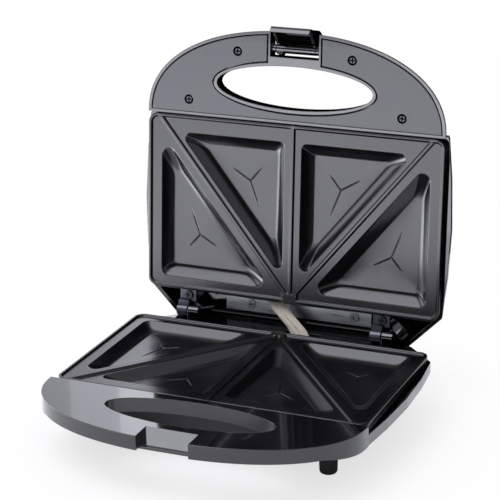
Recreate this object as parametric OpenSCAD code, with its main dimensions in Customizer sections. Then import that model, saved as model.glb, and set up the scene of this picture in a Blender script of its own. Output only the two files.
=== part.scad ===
// Two-slice sandwich toaster with triangle-pocket plates, shown with its lid open
// Lengths are in millimetres and angles in degrees
// X runs across, Y runs from the handle to the hinge, Z is up from the table

/* [Plates] */
// Width of each cooking plate
plate_w = 222; // [210:1:230]
// Depth of each cooking plate, handle to hinge
plate_d = 128; // [122:1:134]
// Corner radius of each cooking plate
plate_r = 7; // [4:0.5:10]
// Wall of the cast plate
plate_t = 2.5; // [2:0.1:3]
// Height of the plate edge above its flange
rim_h = 1.5; // [1:0.1:2.5]
// Width of the raised plate edge
rim_w = 2.4; // [1.8:0.1:3]
// Depth of a sandwich pocket below the flange
pocket_depth = 6; // [4:0.5:8]
// Width of a pocket's sloping wall
pocket_run = 7.5; // [6:0.5:9]
// Corner radius of the pockets next to the centre
inner_pocket_r = 4.2; // [3:0.2:5]
// Corner radius of the pockets next to the sides
outer_pocket_r = 5.6; // [4:0.2:6.4]
// Width of a dividing rib at its foot
rib_w = 4.6; // [3.6:0.2:5.2]
// Width of a dividing rib at its crest
rib_top_w = 1.8; // [1:0.2:2.4]
// Gap between the two plate edges with the lid closed
closed_gap = 1; // [0.6:0.1:2]

/* [Housings] */
// Height of the closing line above the table
parting_z = 42; // [39:0.5:46]
// How far the handles reach past the sides of the plates
handle_margin = 2; // [0:0.25:5]
// Reach of the handles in front of the plates
handle_reach = 66; // [62:0.5:70]
// Roundness of the handle outline, where 2 is an ellipse
handle_power = 2.2; // [2:0.05:2.5]
// Thickness of each handle
handle_t = 10; // [9:0.5:12]
// How far the lid's handle is smaller than the base's all round
lid_setback = 2; // [1:0.25:3]
// Gap between a plate and the handle in front of it
plate_gap = 1.5; // [1:0.1:2.5]
// How far the side walls stand outside the plates at their ends
side_margin = 1; // [0.5:0.25:3]
// Bow of the side walls
side_bow = 4.7; // [2:0.1:6]
// Height of each side wall
skirt_h = 7.5; // [6:0.5:9]
// Drop of the side walls from the closing line
skirt_drop = 6.5; // [5.5:0.25:7.5]
// Wall of the moulded shells
shell_t = 2.5; // [2:0.1:3]
// Space from the lower heat shield to the underside of the base
base_space = 4.7; // [3.7:0.5:5.7]
// Space from the upper heat shield to the top of the lid
lid_space = 7.7; // [6.7:0.5:9.7]

/* [Hand holes] */
// Half width of the hand hole in the base
base_hole_a = 59.5; // [55:0.5:62]
// Half depth of the hand hole in the base
base_hole_b = 18.8; // [16:0.2:19.6]
// Half width of the hand hole in the lid
lid_hole_a = 58; // [54:0.5:60]
// Half depth of the hand hole in the lid
lid_hole_b = 15.2; // [13:0.2:15.8]
// Distance of the hand holes' middle in front of the plates
hole_reach = 26; // [24:0.25:27]
// Rim of the lid's hand hole left bare by the handle cover
hole_rim = 2.4; // [1.6:0.1:3]

/* [Hinge] */
// Distance of the hinge line behind the plates
hinge_setback = 15.5; // [14.5:0.25:16.5]
// Angle of the lid when it stands open
lid_angle = 95; // [90:1:100]
// Distance of each hinge from the side of the plates
hinge_inset = 36.7; // [33:0.1:41]
// Diameter of the hinge pins
hinge_pin_d = 3; // [2.5:0.1:3.4]
// Radius of the hinge knuckles
knuckle_r = 4.1; // [3.8:0.1:4.4]
// Width of one hinge knuckle
knuckle_w = 7.8; // [6.5:0.1:8.5]
// Radial play of a turning pin
running_clearance = 0.06; // [0.03:0.01:0.1]
// Radial play of a fixed pin or screw
fixed_clearance = 0.02; // [0.01:0.01:0.05]

/* [Latch] */
// Width of the latch
latch_w = 29; // [26:0.5:31]
// Width of the latch opening in both handles
latch_window_w = 36; // [34:0.5:38]
// Swing of the latch from open to locked
latch_swing = 16; // [10:1:20]
// Distance of the latch pin behind the handle's front edge
latch_pivot_inset = 15; // [14.5:0.25:16]
// Height of the latch pin above the closing line, lid closed
latch_pivot_z = 5.5; // [5:0.1:6]
// Diameter of the latch pin
latch_pin_d = 3; // [2:0.1:3.2]
// Wall of the latch
latch_t = 2; // [1.6:0.1:2.4]
// Play between the latch hook and the ledge that it grips
hook_clearance = 0.3; // [0.2:0.05:0.5]

/* [Heating] */
// Diameter of the heating tubes
element_d = 6.5; // [6:0.1:7]
// Thickness of the sheet metal shields
shield_t = 0.8; // [0.5:0.1:1]
// Air between the pocket floors and the heating tube
element_gap = 0.3; // [0.2:0.05:0.5]

/* [Feet] */
// Diameter of a foot at its top
foot_d = 12.8; // [11:0.2:14]
// Distance of the feet from the sides of the plates
foot_side_inset = 29.2; // [27:0.2:33]
// Distance of the front feet behind the plate's front edge
foot_front_inset = 9; // [8:0.5:14]
// Distance of the rear feet in front of the plate's back edge
foot_rear_inset = 12; // [10:0.5:20]

/* [Wiring] */
// Width of the braided wire sleeve
sleeve_w = 14; // [12:0.5:15]
// Thickness of the braided wire sleeve
sleeve_t = 4; // [3:0.2:5]
// Diameter of the hole for the mains lead
lead_hole_d = 6.6; // [6:0.1:7.2]

/* [Hidden] */
$fn = 48;
eps = 0.01;
half_w = plate_w / 2;
half_d = plate_d / 2;
handle_half_w = half_w + handle_margin;
side_half_w = half_w + side_margin;
hinge_x = half_w - hinge_inset;
foot_x = half_w - foot_side_inset;
handle_y = -(half_d + plate_gap);
apex_y = handle_y - handle_reach;
hole_y = half_d + hole_reach;
hinge_y = half_d + hinge_setback;
latch_pivot_y = -apex_y - latch_pivot_inset;
base_rear_y = hinge_y + 5;
lid_rear_y = hinge_y + 9.5;
side_rear_y = half_d - 1.5;
side_mid_y = -1;
side_half_d = half_d;
rim_z = -closed_gap / 2;
flange_z = rim_z - rim_h;
flank_z = -skirt_drop;
pocket_floor_z = flange_z - pocket_depth;
bulge_z = pocket_floor_z - plate_t;
element_z = bulge_z - element_gap - element_d / 2;
shield_z = element_z - element_d / 2 - 1.2;
base_depth = shield_t - shield_z + base_space;
lid_depth = shield_t - shield_z + lid_space;
skirt_bottom_z = -skirt_drop - skirt_h;
ledge_w = 6.5;
cover_t = 2;
cover_gap = 0.3;
handle_gap = 0.4;
lid_rim = 2;
seam = 1.1;
panel_t = 2.5;
window_y = apex_y + 20.3;
crown_front_y = 14 - half_d;
open_back_y = hinge_y + (crown_front_y - hinge_y) * cos(lid_angle) + lid_depth * sin(lid_angle);
shift_y = -(apex_y + open_back_y) / 2;
// Ribs run from the front corners to the middle of the back edge
rib_front = [half_w - 9.5, rim_w - half_d];
rib_back = [0.5, half_d - rim_w];
rib_dir = (rib_back - rib_front) / norm(rib_back - rib_front);
rib_normal = [rib_dir.y, -rib_dir.x];
inner_pocket_x = 6;
inner_pocket_y = 12.2 - half_d;
inner_pocket_off = -4.2;
outer_pocket_x = half_w - 9.7;
outer_pocket_y = half_d - 8;
outer_pocket_off = 7.2;
pocket_steps = [0, 0.22, 0.5, 0.78, 1];
// Places of the plate screws, the handle screws and the cover screws
plate_screws = [[12 - half_w, 11 - half_d], [half_w - 12, 11 - half_d], [0, half_d - 10]];
plate_screw_d = 4;
panel_front_y = apex_y + 18.5;
panel_rear_y = -half_d - 12;
panel_x = half_w - 31.5;
panel_screws = [[-42.5, panel_front_y], [42.5, panel_front_y],
                [-panel_x, panel_rear_y], [panel_x, panel_rear_y]];
cover_screws = [[23 - half_w, -half_d - 24], [half_w - 23, -half_d - 24],
                [37 - half_w, half_d - 0.8], [half_w - 37, half_d - 0.8]];
foot_places = [[-foot_x, foot_front_inset - half_d], [foot_x, foot_front_inset - half_d],
               [-foot_x, half_d - foot_rear_inset], [foot_x, half_d - foot_rear_inset]];
small_screw_d = 3;
small_head_d = 5.6;
flat_head_d = 6.4;
flat_head_h = 1.3;
element_leg_x = half_w - 49;
element_front_y = 24 - half_d;
element_rear_y = half_d - 3;
shelf_z = -skirt_drop - shell_t;
tray_half_w = half_w - 16.2;
tray_front_y = 5.4 - half_d;
tray_rear_y = half_d - 5;
tongue_rear_y = hinge_y + 0.5;
tongue_half_w = half_w - 55;
ear_d = 11;
element_bend_r = 18;
hinge_left_x = -hinge_x - 3.3;
hinge_right_x = hinge_x - 3.3;
bracket_y = hinge_y - 11;
bracket_z = 3;
bracket_t = 2;
ledge_front_y = apex_y + 4.5;
ledge_top_z = -8.6;
hook_r = 19.25;
window_wall = 1.5;
bushing_x = 34;
bushing_z = -18.8;
bushing_d = 8.4;
shield_screws = [[-36.3, hinge_y - 5.5], [43.3, hinge_y - 5.5]];
// Middle of the wire sleeve from the base into the lid, counted from the hinge line
sleeve_path = [[12, -7.9, -19], [11.5, -5, -14], [10.5, -2.4, -9], [7, 0.3, -4], [1, 2.5, 1], [-6, 5.3, 6],
               [-11.5, 8.7, 10.5], [-14.8, 11.7, 13.4], [-17, 13.7, 16], [-18, 14.6, 19]];
lamp_x = 16;
lamp_y = crown_front_y + 8;

function mirror_x(pts) = concat(pts, [for (i = [len(pts) - 1:-1:0]) [-pts[i].x, pts[i].y]]);
function unit(v) = v / norm(v);
function left_normal(a, b) = [a.y - b.y, b.x - a.x] / norm(b - a);

// Corner of a convex outline moved inwards by d
function inset_corner(p, q, s, d) =
    let (n1 = left_normal(p, q), n2 = left_normal(q, s)) q + (n1 + n2) * d / (1 + n1 * n2);

// Convex outline, anticlockwise, with inset sides and round corners
function round_outline(pts, inset, r, steps) = [
    for (i = [0:len(pts) - 1])
        let (n = len(pts), p = pts[(i + n - 1) % n], q = pts[i], s = pts[(i + 1) % n],
             c = inset_corner(p, q, s, inset + r),
             n1 = -left_normal(p, q), n2 = -left_normal(q, s),
             a1 = atan2(n1.y, n1.x), turn = (atan2(n2.y, n2.x) - a1 + 360) % 360)
            for (k = [0:steps]) c + r * [cos(a1 + turn * k / steps), sin(a1 + turn * k / steps)]
];

function at_height(pts, z) = [for (p = pts) [p.x, p.y, z]];

// Solid through a stack of outlines with equal numbers of points, from the bottom up
module loft(rings) {
    n = len(rings[0]);
    m = len(rings);
    sides = [
        for (k = [0:m - 2]) for (i = [0:n - 1])
            let (a = k * n + i, b = k * n + (i + 1) % n) each [[a, a + n, b + n], [a, b + n, b]]
    ];
    caps = [[for (i = [0:n - 1]) i], [for (i = [n - 1:-1:0]) (m - 1) * n + i]];
    polyhedron(points = [for (r = rings) each r], faces = concat(sides, caps), convexity = 6);
}

// Handle outline: half of a superellipse in front of the plates
function handle_outline(inset, back = 0) = concat(
    [for (t = [180:3:360])
        [(handle_half_w - inset) * sign(cos(t)) * pow(abs(cos(t)), 2 / handle_power),
         handle_y - (handle_reach - inset) * pow(abs(sin(t)), 2 / handle_power)]],
    back == 0 ? [] : [[handle_half_w - inset, handle_y + back], [inset - handle_half_w, handle_y + back]]
);

function side_x(y, bow = 1) = side_half_w + bow * side_bow * (1 - pow((y - side_mid_y) / side_half_d, 2));
function bow_share(ring) = len(ring) > 4 ? ring[4] : 1;
function rear_corner_x(rear) = side_half_w + 1 - (rear - side_rear_y) * 1.04;

// Corners of a housing behind the handle, with bowed sides and cut rear corners
function body_corners(front, rear, bow = 1) = mirror_x(concat(
    [for (y = [front, -36, -1, 34, side_rear_y]) [side_x(max(y, side_mid_y - side_half_d), bow), y]],
    [[rear_corner_x(rear), rear]]
));

module ellipse(a, b) {
    polygon([for (t = [0:4:356]) [a * cos(t), b * sin(t)]]);
}

module slab(z1, z2) {
    translate([0, 0, z1]) linear_extrude(z2 - z1) children();
}

module on_base() {
    translate([0, shift_y, parting_z]) children();
}

// The lid is drawn closed and turned about the hinge line to where it stands
module on_lid() {
    translate([0, shift_y + hinge_y, parting_z]) rotate([-lid_angle, 0, 0])
        translate([0, -hinge_y, 0]) children();
}

module on_latch() {
    on_lid() translate([0, -latch_pivot_y, latch_pivot_z]) rotate([-latch_swing, 0, 0])
        children();
}

module gloss_black() {
    color([0.08, 0.08, 0.09]) children();
}

module steel() {
    color([0.72, 0.73, 0.75]) children();
}

module both_sides() {
    children();
    mirror([1, 0, 0]) children();
}

// Cooking plate

function rib_x(y, off) = rib_front.x + (off - rib_normal.y * (y - rib_front.y)) / rib_normal.x;
function rib_y(x, off) = rib_front.y + (off - rib_normal.x * (x - rib_front.x)) / rib_normal.y;

inner_pocket = [
    [inner_pocket_x, inner_pocket_y],
    [rib_x(inner_pocket_y, inner_pocket_off), inner_pocket_y],
    [inner_pocket_x, rib_y(inner_pocket_x, inner_pocket_off)]
];
outer_pocket = [
    [outer_pocket_x, outer_pocket_y],
    [rib_x(outer_pocket_y, outer_pocket_off), outer_pocket_y],
    [outer_pocket_x, rib_y(outer_pocket_x, outer_pocket_off)]
];

// Triangular hollow with walls that curve from the flange into the floor
module pocket(corners, r, grow, from_z, deep) {
    floor_r = r * 0.55 + grow;
    rings = [
        for (k = [len(pocket_steps) - 1:-1:0])
            let (t = pocket_steps[k], s = t * t * (3 - 2 * t))
                at_height(round_outline(corners, pocket_run * t - grow, r + grow + (floor_r - r - grow) * t, 5),
                          from_z - deep * s)
    ];
    lip = at_height(round_outline(corners, -grow, r + grow, 5), from_z + (grow > 0 ? 1 : rim_h + 1));
    loft(concat(rings, [lip]));
}

module pockets(grow, from_z, deep) {
    both_sides() {
        pocket(inner_pocket, inner_pocket_r, grow, from_z, deep);
        pocket(outer_pocket, outer_pocket_r, grow, from_z, deep);
    }
}

// Straight rib with sloping sides that stands on the flange
module rib(from, to) {
    along = to - from;
    translate([from.x, from.y, flange_z - eps]) rotate([0, 0, atan2(along.y, along.x)])
        rotate([90, 0, 90]) linear_extrude(norm(along))
            polygon([[-rib_w / 2, 0], [rib_w / 2, 0],
                     [rib_top_w / 2, rim_h + eps], [-rib_top_w / 2, rim_h + eps]]);
}

module plate_outline(inset) {
    corners = [[-half_w, -half_d], [half_w, -half_d],
               [half_w, half_d], [-half_w, half_d]];
    polygon(round_outline(corners, inset, max(plate_r - inset, 1), 8));
}

// Plate with four triangle pockets, three ribs, a raised edge and a hanging flank
module cooking_plate() {
    color([0.2, 0.2, 0.21]) difference() {
        union() {
            slab(flange_z - plate_t, flange_z) plate_outline(0);
            slab(flank_z, rim_z) difference() {
                plate_outline(0);
                plate_outline(rim_w);
            }
            both_sides() rib(rib_front - 0.9 * rib_dir, rib_back - 3.1 * rib_dir);
            rib([0, 1.4 - half_d], [0, half_d - 1.4]);
            // Flat pad where the three ribs meet
            slab(flange_z - 0.5, rim_z) translate([0, half_d - 1.4])
                polygon([[-6, 0], [-4.6, -4.6], [4.6, -4.6], [6, 0]]);
            pockets(plate_t * 0.8, flange_z - plate_t * 0.6, pocket_depth + plate_t * 0.4);
            for (p = plate_screws) translate([p.x, p.y, flank_z]) cylinder(d = 8, h = flange_z - flank_z - 0.5);
            translate([0, 0, bulge_z - 0.5]) cylinder(d = 9, h = flange_z - bulge_z - 0.5);
        }
        pockets(0, flange_z, pocket_depth);
        for (p = plate_screws)
            translate([p.x, p.y, flank_z - 1]) cylinder(d = plate_screw_d + 2 * fixed_clearance, h = 4.6);
        translate([0, 0, bulge_z - 1]) cylinder(d = small_screw_d + 2 * fixed_clearance, h = 7);
    }
}

// Heating tube in a U whose open end points to the hinge
module heating_element() {
    r = element_bend_r;
    d = element_d;
    leg_y = element_front_y + r;
    color([0.45, 0.44, 0.43]) translate([0, 0, element_z]) {
        both_sides() {
            translate([element_leg_x, leg_y, 0]) rotate([-90, 0, 0])
                cylinder(d = d, h = element_rear_y - leg_y);
            translate([element_leg_x - r, leg_y, 0]) rotate([0, 0, -90]) rotate_extrude(angle = 90)
                translate([r, 0]) circle(d = d);
            translate([element_leg_x, element_rear_y - eps, 0]) rotate([-90, 0, 0]) cylinder(d = 2.4, h = 8);
        }
        translate([r - element_leg_x, element_front_y, 0]) rotate([0, 90, 0])
            cylinder(d = d, h = 2 * (element_leg_x - r));
    }
}

// Ceramic end bushes of the heating tube
module element_terminals() {
    color([0.9, 0.88, 0.82]) both_sides()
        translate([element_leg_x, element_rear_y + cover_gap, element_z]) rotate([-90, 0, 0]) difference() {
            cylinder(d = element_d, h = 4);
            translate([0, 0, -1]) cylinder(d = 2.4 + 2 * fixed_clearance, h = 6);
        }
}

// Sheet metal tray behind a plate, held by the plate screws at three raised ears
module heat_shield() {
    wall_top = bulge_z - 1;
    ear_z = shelf_z - shield_t;
    leg_h = ear_z - shield_z + shield_t;
    color([0.8, 0.81, 0.82]) difference() {
        union() {
            slab(shield_z - shield_t, shield_z) tray_outline(0);
            slab(shield_z - eps, wall_top) difference() {
                tray_outline(0);
                tray_outline(shield_t);
            }
            both_sides() {
                translate([tray_half_w - shield_t, tray_front_y, shield_z - eps])
                    cube([shield_t, ear_d, leg_h]);
                translate([tray_half_w - shield_t, tray_front_y, ear_z]) cube([10, ear_d, shield_t]);
            }
            translate([-ear_d / 2, tray_rear_y - shield_t, shield_z - eps]) cube([ear_d, shield_t, leg_h]);
            translate([-ear_d / 2, tray_rear_y - ear_d + 1, ear_z]) cube([ear_d, ear_d - 1, shield_t]);
            children();
        }
        for (p = plate_screws)
            translate([p.x, p.y, ear_z - 1]) cylinder(d = plate_screw_d + 0.4, h = shield_t + 2);
        both_sides() translate([element_leg_x, tray_rear_y + 1, element_z]) rotate([90, 0, 0])
            cylinder(d = element_d + 1, h = 4);
    }
}

module tray_outline(inset) {
    corners = [[-tray_half_w, tray_front_y], [tray_half_w, tray_front_y],
               [tray_half_w, tray_rear_y], [-tray_half_w, tray_rear_y]];
    polygon(round_outline(corners, inset, 3 - inset, 4));
}

// Pan-head screw with a cross recess, its head's underside at z = 0 and its shank going up
module screw(d, length, head_d, head_h = 2) {
    color([0.5, 0.5, 0.52]) difference() {
        union() {
            cylinder(d = d, h = length);
            translate([0, 0, -head_h]) cylinder(d = head_d, h = head_h);
        }
        for (a = [0, 90]) translate([0, 0, -head_h]) rotate([0, 0, a])
            cube([head_d * 0.6, head_d * 0.12, head_h * 1.1], center = true);
    }
}

// Housings

module handle_2d(inset) {
    polygon(handle_outline(inset));
}

module body_2d(inset, front, rear) {
    polygon(round_outline(body_corners(front, rear), inset, 3, 2));
}

// Slab of a handle whose underside drops to meet the side walls at its two ends
module handle_wall_zone(drop_to) {
    rotate([90, 0, 0]) linear_extrude(height = 400, center = true)
        polygon([[-200, 0], [-200, drop_to], [-side_half_w, drop_to], [15 - side_half_w, -handle_t],
                 [side_half_w - 15, -handle_t], [side_half_w, drop_to], [200, drop_to], [200, 0]]);
}

// Shelf that carries a plate, open under the pockets, with a lug at each plate screw
module plate_shelf(rear, reach) {
    difference() {
        slab(shelf_z, flank_z) intersection() {
            body_2d(1, handle_y - 3, rear);
            translate([-150, handle_y - 0.5]) square([300, reach - handle_y + 0.5]);
        }
        difference() {
            translate([0, 0, shelf_z - 1]) linear_extrude(shell_t + 2)
                translate([ledge_w - half_w, -half_d + ledge_w])
                    square([plate_w - 2 * ledge_w, plate_d - 2 * ledge_w]);
            for (p = plate_screws) translate([p.x - 8, p.y - 8, shelf_z - 2]) cube([16, p.y > 0 ? 20 : 16, 10]);
            both_sides() translate([half_w - 20, -half_d, shelf_z - 2]) cube([20, 12, 10]);
        }
        for (p = plate_screws)
            translate([p.x, p.y, shelf_z - 1]) cylinder(d = plate_screw_d + 0.4, h = shell_t + 2);
    }
}

// Screw post hanging from a shell, bored from below
module post(x, y, z1, z2, d) {
    translate([x, y, z1]) difference() {
        cylinder(d = d, h = z2 - z1);
        translate([0, 0, -1]) cylinder(d = small_screw_d + 2 * fixed_clearance, h = min(9, z2 - z1 - 1) + 1);
    }
}

module base_housing() {
    wall = shell_t;
    gloss_black() on_base() difference() {
        union() {
            // Handle: top skin, outer wall, hand hole wall and the wall towards the plate
            slab(-wall, 0) handle_2d(0);
            intersection() {
                slab(skirt_bottom_z, 0) difference() {
                    handle_2d(0);
                    handle_2d(wall);
                }
                handle_wall_zone(skirt_bottom_z);
            }
            slab(-handle_t, 0) intersection() {
                handle_2d(0);
                union() {
                    translate([0, -hole_y]) ellipse(base_hole_a + wall, base_hole_b + wall);
                    translate([-latch_window_w / 2 - wall, apex_y])
                        square([latch_window_w + 2 * wall, window_y - apex_y]);
                }
            }
            slab(cover_t - handle_t, -eps) intersection() {
                handle_2d(0.5);
                translate([-150, handle_y - wall]) square([300, wall]);
            }
            // Side and rear walls with the plate shelf
            slab(skirt_bottom_z, -skirt_drop) intersection() {
                difference() {
                    body_2d(0, handle_y - 6, base_rear_y);
                    body_2d(wall, handle_y - 6, base_rear_y);
                }
                translate([-150, handle_y]) square([300, 200]);
            }
            plate_shelf(base_rear_y, 100);
            for (p = cover_screws)
                post(p.x, p.y, p.y < 0 ? cover_t - handle_t : cover_t - base_depth,
                     p.y < 0 ? eps - wall : shelf_z + eps, 7.4);
            for (x = [hinge_left_x, hinge_right_x]) hinge_post(x);
        }
        translate([0, -hole_y, -handle_t - 1]) linear_extrude(handle_t + 2) ellipse(base_hole_a, base_hole_b);
        translate([-latch_window_w / 2, apex_y - 5, -20]) cube([latch_window_w, window_y - apex_y + 5, 30]);
        // Slot for the wire sleeve
        translate([-4, hinge_y - 6, shelf_z - 1]) cube([28, base_rear_y - hinge_y + 4, shell_t + 2]);
    }
    gloss_black() on_base() latch_ledge();
}

// Ramp in the notch of the handle, down to the ledge that the latch grips
module latch_ledge() {
    grip_r = hook_r - hook_clearance;
    grip = [for (k = [0:4])
        let (y = ledge_front_y + k, ry = y + latch_pivot_y)
            [y, latch_pivot_z - sqrt(grip_r * grip_r - ry * ry)]];
    ramp = [[window_y + 0.3, 0], [ledge_front_y + 11.5, 0],
            [ledge_front_y + 3, ledge_top_z + 0.1], [ledge_front_y, ledge_top_z]];
    back = [[ledge_front_y + 8, -handle_t], [ledge_front_y + 11, shelf_z + 1],
            [ledge_front_y + 13, -shell_t], [window_y + 0.3, -shell_t]];
    across(latch_window_w + 0.4) polygon(concat(ramp, grip, back));
}

// Fixed half of a hinge: a post on the shelf with a bored knuckle
module hinge_post(x) {
    translate([x + 0.4, hinge_y, 0]) rotate([0, 90, 0]) difference() {
        union() {
            cylinder(r = knuckle_r, h = knuckle_w);
            translate([0, -knuckle_r, 0]) cube([-shelf_z, 2 * knuckle_r, knuckle_w]);
        }
        translate([0, 0, -1]) cylinder(d = hinge_pin_d + 2 * fixed_clearance, h = knuckle_w + 2);
    }
}

// Bottom cover: the underside of the handle and the pan that carries the feet
module base_cover() {
    t = cover_t;
    edge = shell_t + cover_gap;
    color([0.1, 0.1, 0.11]) on_base() difference() {
        union() {
            slab(-handle_t, t - handle_t) difference() {
                intersection() {
                    handle_2d(shell_t + cover_gap);
                    translate([-150, apex_y]) square([300, handle_y - 0.8 - apex_y]);
                }
                translate([0, -hole_y]) ellipse(base_hole_a + edge, base_hole_b + edge);
                translate([-latch_window_w / 2 - edge, apex_y])
                    square([latch_window_w + 2 * edge, window_y - apex_y + 1]);
            }
            translate([13 - half_w, handle_y - 3, -handle_t - 2]) cube([2 * half_w - 26, 4, 2.5]);
            difference() {
                loft([for (k = pan_rings) pan_ring(k, 0)]);
                loft([for (k = pan_rings) pan_ring(k, t)]);
            }
            translate([bushing_x, hinge_y - 10.5, bushing_z]) rotate([-90, 0, 0])
                cylinder(d = bushing_d + 4, h = 12.2);
        }
        for (p = cover_screws) translate([p.x, p.y, -base_depth - 1])
            cylinder(d = small_screw_d + 0.4, h = base_depth);
        for (p = foot_places)
            translate([p.x, p.y, -base_depth - 1]) cylinder(d = 6 + 2 * fixed_clearance, h = t + 2);
        translate([bushing_x, hinge_y - 12.5, bushing_z]) rotate([-90, 0, 0]) cylinder(d = bushing_d, h = 20);
        for (y = [-40:10:40]) translate([-22, y, -base_depth - 1]) cube([44, 2.4, t + 2]);
    }
}

// Height, side inset, front edge and rear edge of the pan from the floor up
pan_rings = [[-base_depth, 13, handle_y + 2, base_rear_y - 8.5],
             [3.5 - base_depth, 8.5, handle_y + 0.5, base_rear_y - 5.5],
             [7.5 - base_depth, 5, handle_y - 0.7, base_rear_y - 3.7],
             [shelf_z - cover_gap, 2.8, handle_y - 1.5, base_rear_y - 2.9]];

function pan_ring(k, t) = body_ring(k[0] + t, k[1] + t, k[2] + t, k[3] - t, 4);
function body_ring(z, inset, front, rear, r, bow = 1) =
    at_height(round_outline(body_corners(front - inset, rear + inset, bow), inset, r, 2), z);

// Rubber foot with a stem that plugs into the bottom cover
module foot(place) {
    r = foot_d / 2;
    sole_z = base_depth - parting_z;
    color([0.12, 0.12, 0.12]) on_base() translate([place.x, place.y, -base_depth]) rotate_extrude()
        polygon([[0, cover_t], [3, cover_t], [3, 0], [r, 0],
                 [r - 0.5, sole_z + 1.6], [r - 1, sole_z + 0.6], [r - 2, sole_z], [0, sole_z]]);
}

// Bush that guides the mains lead out of the pan
module cord_bushing() {
    color([0.12, 0.12, 0.12]) on_base() translate([bushing_x, 0, bushing_z]) rotate([-90, 0, 0]) difference() {
        union() {
            translate([0, 0, hinge_y - 12.1]) cylinder(d = bushing_d - 2 * fixed_clearance, h = 14);
            translate([0, 0, hinge_y + 1.75]) cylinder(d = bushing_d + 1, h = 2.15);
        }
        translate([0, 0, hinge_y - 20]) cylinder(d = lead_hole_d, h = 30);
    }
}

// Thermostat clamped under the boss of the lower plate
module thermostat() {
    color([0.75, 0.74, 0.7]) on_base() translate([0, 0, bulge_z - 0.5]) {
        cylinder(d = small_screw_d, h = 4);
        translate([0, 0, -5]) cylinder(d = 16, h = 5);
        translate([-13, -3, -3.5]) cube([26, 6, 1]);
    }
}

// Ceramic block that joins the mains lead to the inner wires
module terminal_block() {
    color([0.88, 0.86, 0.8]) on_base() difference() {
        translate([3, hinge_y - 19.3, cover_t - base_depth]) cube([22, 9, 8.5]);
        for (x = [8.5, 19.5]) translate([x, hinge_y - 14.8, cover_t - base_depth + 4]) cylinder(d = 4, h = 6);
    }
}

module cover_screw_set() {
    on_base() for (p = cover_screws)
        translate([p.x, p.y, p.y < 0 ? -handle_t : -base_depth])
            screw(small_screw_d, cover_t + 4, small_head_d);
}

// Screws that clamp a plate and its shield to the shelf, with the plate above the shelf
module plate_screw_set() {
    for (p = plate_screws) translate([p.x, p.y, shelf_z - shield_t])
        screw(plate_screw_d, shell_t + shield_t + 3, 1.75 * plate_screw_d);
}

module hinge_pin(x) {
    steel() on_base() translate([x - 8.6, hinge_y, 0]) rotate([0, 90, 0]) cylinder(d = hinge_pin_d, h = 17);
}

// Lid

// Height, inset of the handle's outline
lid_handle_rings = [[-10, 8], [-8.5, 4], [-6, 1.6], [-3, 0.4], [-handle_gap, 0]];
lid_handle_hollow = [[-7.8, 9], [-6.4, 5], [-3, lid_rim + 0.5], [1, lid_rim]];
// Height, side inset, front edge and rear edge of the lid's crown
lid_rings = [[-lid_depth, 30, crown_front_y, lid_rear_y - 15],
             [2 - lid_depth, 18, crown_front_y - 8, lid_rear_y - 8],
             [6 - lid_depth, 10, crown_front_y - 11.5, lid_rear_y - 3],
             [11 - lid_depth, 5, handle_y + 2.3, lid_rear_y - 1.4],
             [15 - lid_depth, 2, handle_y + 1.3, lid_rear_y - 0.6],
             [shelf_z, 0.6, handle_y + 0.7, lid_rear_y - 0.1, 0.7],
             [flank_z, 0, handle_y + 0.3, lid_rear_y, 0.3]];
lid_hollow = [[2.5 - lid_depth, 32, crown_front_y + 2.5, lid_rear_y - 17],
              [4.4 - lid_depth, 20.4, crown_front_y - 5.5, lid_rear_y - 10.5],
              [7.6 - lid_depth, 12.4, crown_front_y - 9, lid_rear_y - 5.5],
              [11.6 - lid_depth, 7.5, handle_y + 4.8, lid_rear_y - 3.9],
              [15 - lid_depth, 4.5, handle_y + 3.8, lid_rear_y - 3.1],
              [shelf_z, 3.1, handle_y + 3.2, lid_rear_y - 2.6, 0.7],
              [flank_z + 2, 2.5, handle_y + 2.5, lid_rear_y - 2.5, 0]];

// The parts of the lid are drawn facing up, then turned over
module under_lid() {
    on_lid() mirror([0, 0, 1]) children();
}

module lid_solid() {
    loft([for (k = lid_handle_rings) at_height(handle_outline(lid_setback + k[1], 0.5), k[0])]);
    loft([for (k = lid_rings) body_ring(k[0], k[1], k[2], k[3], 3 + k[1] * 0.3, bow_share(k))]);
}

module lid_handle_solid() {
    loft([for (k = lid_handle_rings) at_height(handle_outline(lid_setback + k[1], 0.5), k[0])]);
}

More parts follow.
